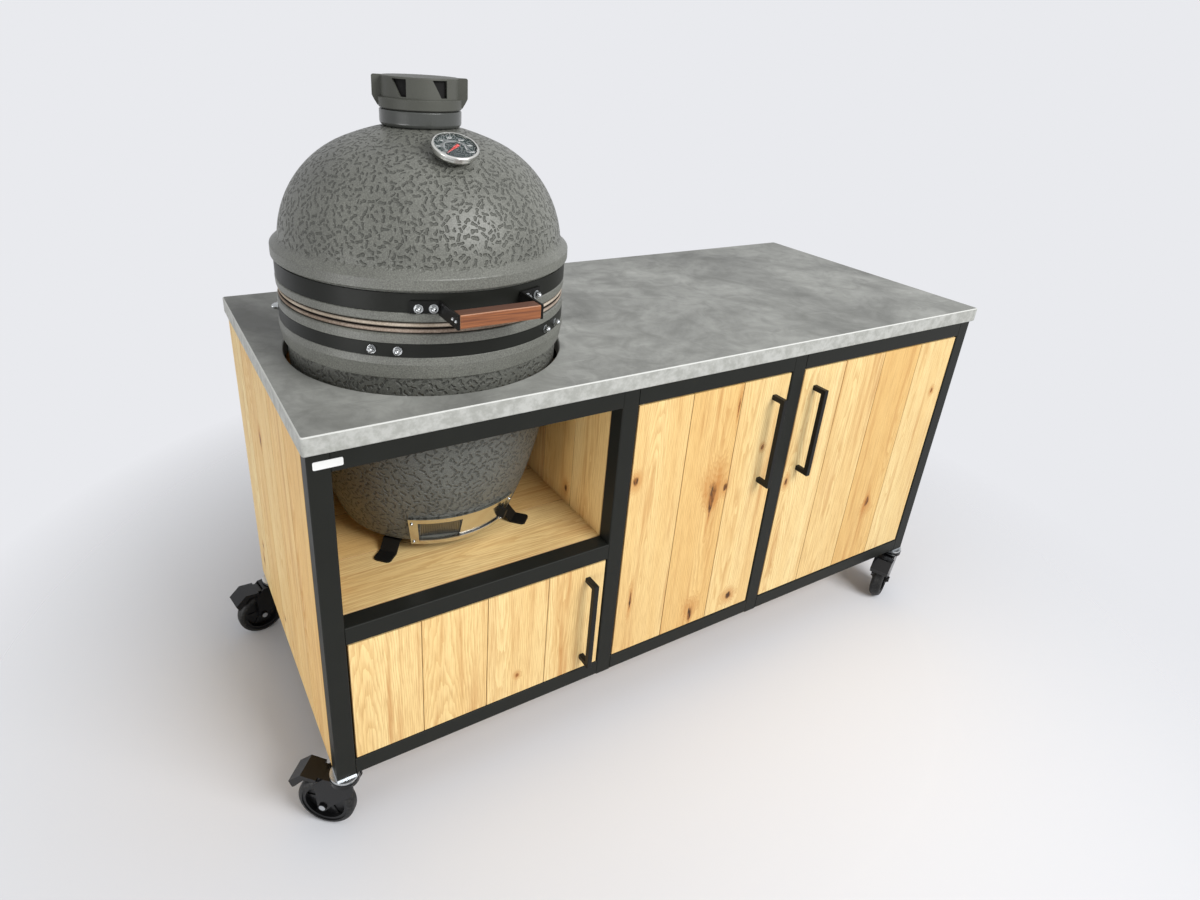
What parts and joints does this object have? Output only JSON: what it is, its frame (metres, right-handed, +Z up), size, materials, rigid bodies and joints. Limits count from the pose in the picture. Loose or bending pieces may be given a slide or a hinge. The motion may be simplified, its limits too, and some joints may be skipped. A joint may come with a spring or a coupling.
{
  "type": "kamado_grill_table",
  "caption": "Outdoor kitchen on swivel casters: a ceramic kamado grill in a black steel frame with oak cabinet doors and a concrete worktop",
  "frame": {"origin": "on the floor under the middle of the whole object", "axes": "X along the worktop, with the kamado at the minus X end; Y from the door side to the rear; Z up"},
  "size_m": [1.9732, 0.8104, 1.4692],
  "materials": {
    "frame_steel": "matt powder coat",
    "oak": "oiled",
    "concrete": "matt sealed",
    "kamado_glaze": "textured matt glaze",
    "band_steel": "satin",
    "black_steel": "satin",
    "bolt_steel": "zinc plated",
    "stainless": "brushed",
    "felt": "felt",
    "grip_wood": "oiled",
    "firebrick": "unglazed",
    "cast_iron": "seasoned",
    "cap_paint": "matt",
    "dial_face": "printed",
    "dial_glass": "clear",
    "pointer_red": "gloss",
    "caster_steel": "gloss",
    "caster_plastic": "matt",
    "tyre_rubber": "matt",
    "plate_metal": "satin"
  },
  "bodies": {
    "table": {"posts": "frame_steel", "rails": "frame_steel", "left_side_boards": "oak", "right_side_boards": "oak", "rear_boards": "oak", "inner_wall_boards": "oak", "shelf_boards": "oak", "cabinet_floor_boards": "oak", "worktop": "concrete", "name_plate": "plate_metal", "door_pivot_pins": "bolt_steel", "door_magnets": "black_steel", "caster_mounts": "bolt_steel", "base_shell": "kamado_glaze", "base_gasket": "felt", "base_band": "band_steel", "base_fasteners": "bolt_steel", "kamado_feet": "black_steel", "firebox": "firebrick", "fire_ring": "firebrick", "charcoal_grate": "cast_iron", "cooking_grate": "cast_iron", "draft_frame": "stainless", "ash_mesh": "stainless", "hinge_base_bracket": "band_steel", "hinge_pin": "bolt_steel", "hinge_springs": "bolt_steel"},
    "lid": {"lid_shell": "kamado_glaze", "lid_gasket": "felt", "lid_band": "band_steel", "lid_fasteners": "bolt_steel", "handle_bracket": "black_steel", "handle_grip": "grip_wood", "hinge_lid_bracket": "band_steel", "vent_collar": "cap_paint", "thermometer_case": "stainless", "thermometer_dial": "dial_face", "thermometer_glass": "dial_glass"},
    "vent_cap": {"vent_cap": "cap_paint"},
    "thermometer_pointer": {"thermometer_pointer": "pointer_red"},
    "draft_door": {"draft_door": "stainless", "draft_door_tab": "black_steel"},
    "lower_door": {"lower_door": "oak", "lower_door_handle": "black_steel"},
    "middle_door": {"middle_door": "oak", "middle_door_handle": "black_steel"},
    "right_door": {"right_door": "oak", "right_door_handle": "black_steel"},
    "caster_front_left": {"caster_fork_front_left": "caster_steel"},
    "wheel_front_left": {"caster_wheel_front_left": "tyre_rubber"},
    "pedal_front_left": {"caster_pedal_front_left": "caster_plastic"},
    "caster_front_right": {"caster_fork_front_right": "caster_steel"},
    "wheel_front_right": {"caster_wheel_front_right": "tyre_rubber"},
    "pedal_front_right": {"caster_pedal_front_right": "caster_plastic"},
    "caster_rear_left": {"caster_fork_rear_left": "caster_steel"},
    "wheel_rear_left": {"caster_wheel_rear_left": "tyre_rubber"},
    "pedal_rear_left": {"caster_pedal_rear_left": "caster_plastic"},
    "caster_rear_right": {"caster_fork_rear_right": "caster_steel"},
    "wheel_rear_right": {"caster_wheel_rear_right": "tyre_rubber"},
    "pedal_rear_right": {"caster_pedal_rear_right": "caster_plastic"}
  },
  "joints": [
    {"name": "lid_hinge", "type": "hinge", "parent": "table", "child": "lid", "pos_m": [-0.55736, 0.29544, 1.081], "axis": [-1, 0, 0], "range_deg": [0, 75], "stiffness_Nm_per_rad": 60, "springref_deg": 68.75},
    {"name": "vent_cap_turn", "type": "hinge", "parent": "lid", "child": "vent_cap", "pos_m": [-0.55736, -0.02476, 1.44], "axis": [0, 0, 1], "range_deg": [0, 30]},
    {"name": "thermometer_reading", "type": "hinge", "parent": "lid", "child": "thermometer_pointer", "pos_m": [-0.56169, -0.19017, 1.34693], "axis": [0.0111, 0.4251, -0.9051], "range_deg": [0, 255]},
    {"name": "draft_door_slide", "type": "hinge", "parent": "table", "child": "draft_door", "pos_m": [-0.55736, -0.02476, 0.605], "axis": [0, 0, 1], "range_deg": [-25.3, 0]},
    {"name": "lower_door_hinge", "type": "hinge", "parent": "table", "child": "lower_door", "pos_m": [-0.83486, -0.34826, 0.3495], "axis": [0, 0, -1], "range_deg": [0, 105]},
    {"name": "middle_door_hinge", "type": "hinge", "parent": "table", "child": "middle_door", "pos_m": [-0.20986, -0.34826, 0.537], "axis": [0, 0, -1], "range_deg": [0, 105]},
    {"name": "right_door_hinge", "type": "hinge", "parent": "table", "child": "right_door", "pos_m": [0.83514, -0.34826, 0.537], "axis": [0, 0, 1], "range_deg": [0, 105]},
    {"name": "swivel_front_left", "type": "hinge", "parent": "table", "child": "caster_front_left", "pos_m": [-0.86986, -0.33676, 0.14], "axis": [0, 0, 1], "continuous": true},
    {"name": "roll_front_left", "type": "hinge", "parent": "caster_front_left", "child": "wheel_front_left", "pos_m": [-0.90307, -0.30789, 0.0625], "axis": [-0.6561, -0.7547, 0], "continuous": true},
    {"name": "brake_front_left", "type": "hinge", "parent": "caster_front_left", "child": "pedal_front_left", "pos_m": [-0.90458, -0.30658, 0.132], "axis": [-0.6561, -0.7547, 0], "range_deg": [0, 7]},
    {"name": "swivel_front_right", "type": "hinge", "parent": "table", "child": "caster_front_right", "pos_m": [0.87014, -0.33676, 0.14], "axis": [0, 0, 1], "continuous": true},
    {"name": "roll_front_right", "type": "hinge", "parent": "caster_front_right", "child": "wheel_front_right", "pos_m": [0.82964, -0.35395, 0.0625], "axis": [0.3907, -0.9205, 0], "continuous": true},
    {"name": "brake_front_right", "type": "hinge", "parent": "caster_front_right", "child": "pedal_front_right", "pos_m": [0.82779, -0.35474, 0.132], "axis": [0.3907, -0.9205, 0], "range_deg": [0, 7]},
    {"name": "swivel_rear_left", "type": "hinge", "parent": "table", "child": "caster_rear_left", "pos_m": [-0.86986, 0.35424, 0.14], "axis": [0, 0, 1], "continuous": true},
    {"name": "roll_rear_left", "type": "hinge", "parent": "caster_rear_left", "child": "wheel_rear_left", "pos_m": [-0.91319, 0.3466, 0.0625], "axis": [0.1736, -0.9848, 0], "continuous": true},
    {"name": "brake_rear_left", "type": "hinge", "parent": "caster_rear_left", "child": "pedal_rear_left", "pos_m": [-0.91516, 0.34625, 0.132], "axis": [0.1736, -0.9848, 0], "range_deg": [0, 7]},
    {"name": "swivel_rear_right", "type": "hinge", "parent": "table", "child": "caster_rear_right", "pos_m": [0.87014, 0.35424, 0.14], "axis": [0, 0, 1], "continuous": true},
    {"name": "roll_rear_right", "type": "hinge", "parent": "caster_rear_right", "child": "wheel_rear_right", "pos_m": [0.91371, 0.36036, 0.0625], "axis": [-0.1392, 0.9903, 0], "continuous": true},
    {"name": "brake_rear_right", "type": "hinge", "parent": "caster_rear_right", "child": "pedal_rear_right", "pos_m": [0.91569, 0.36064, 0.132], "axis": [-0.1392, 0.9903, 0], "range_deg": [0, 7]}
  ]
}
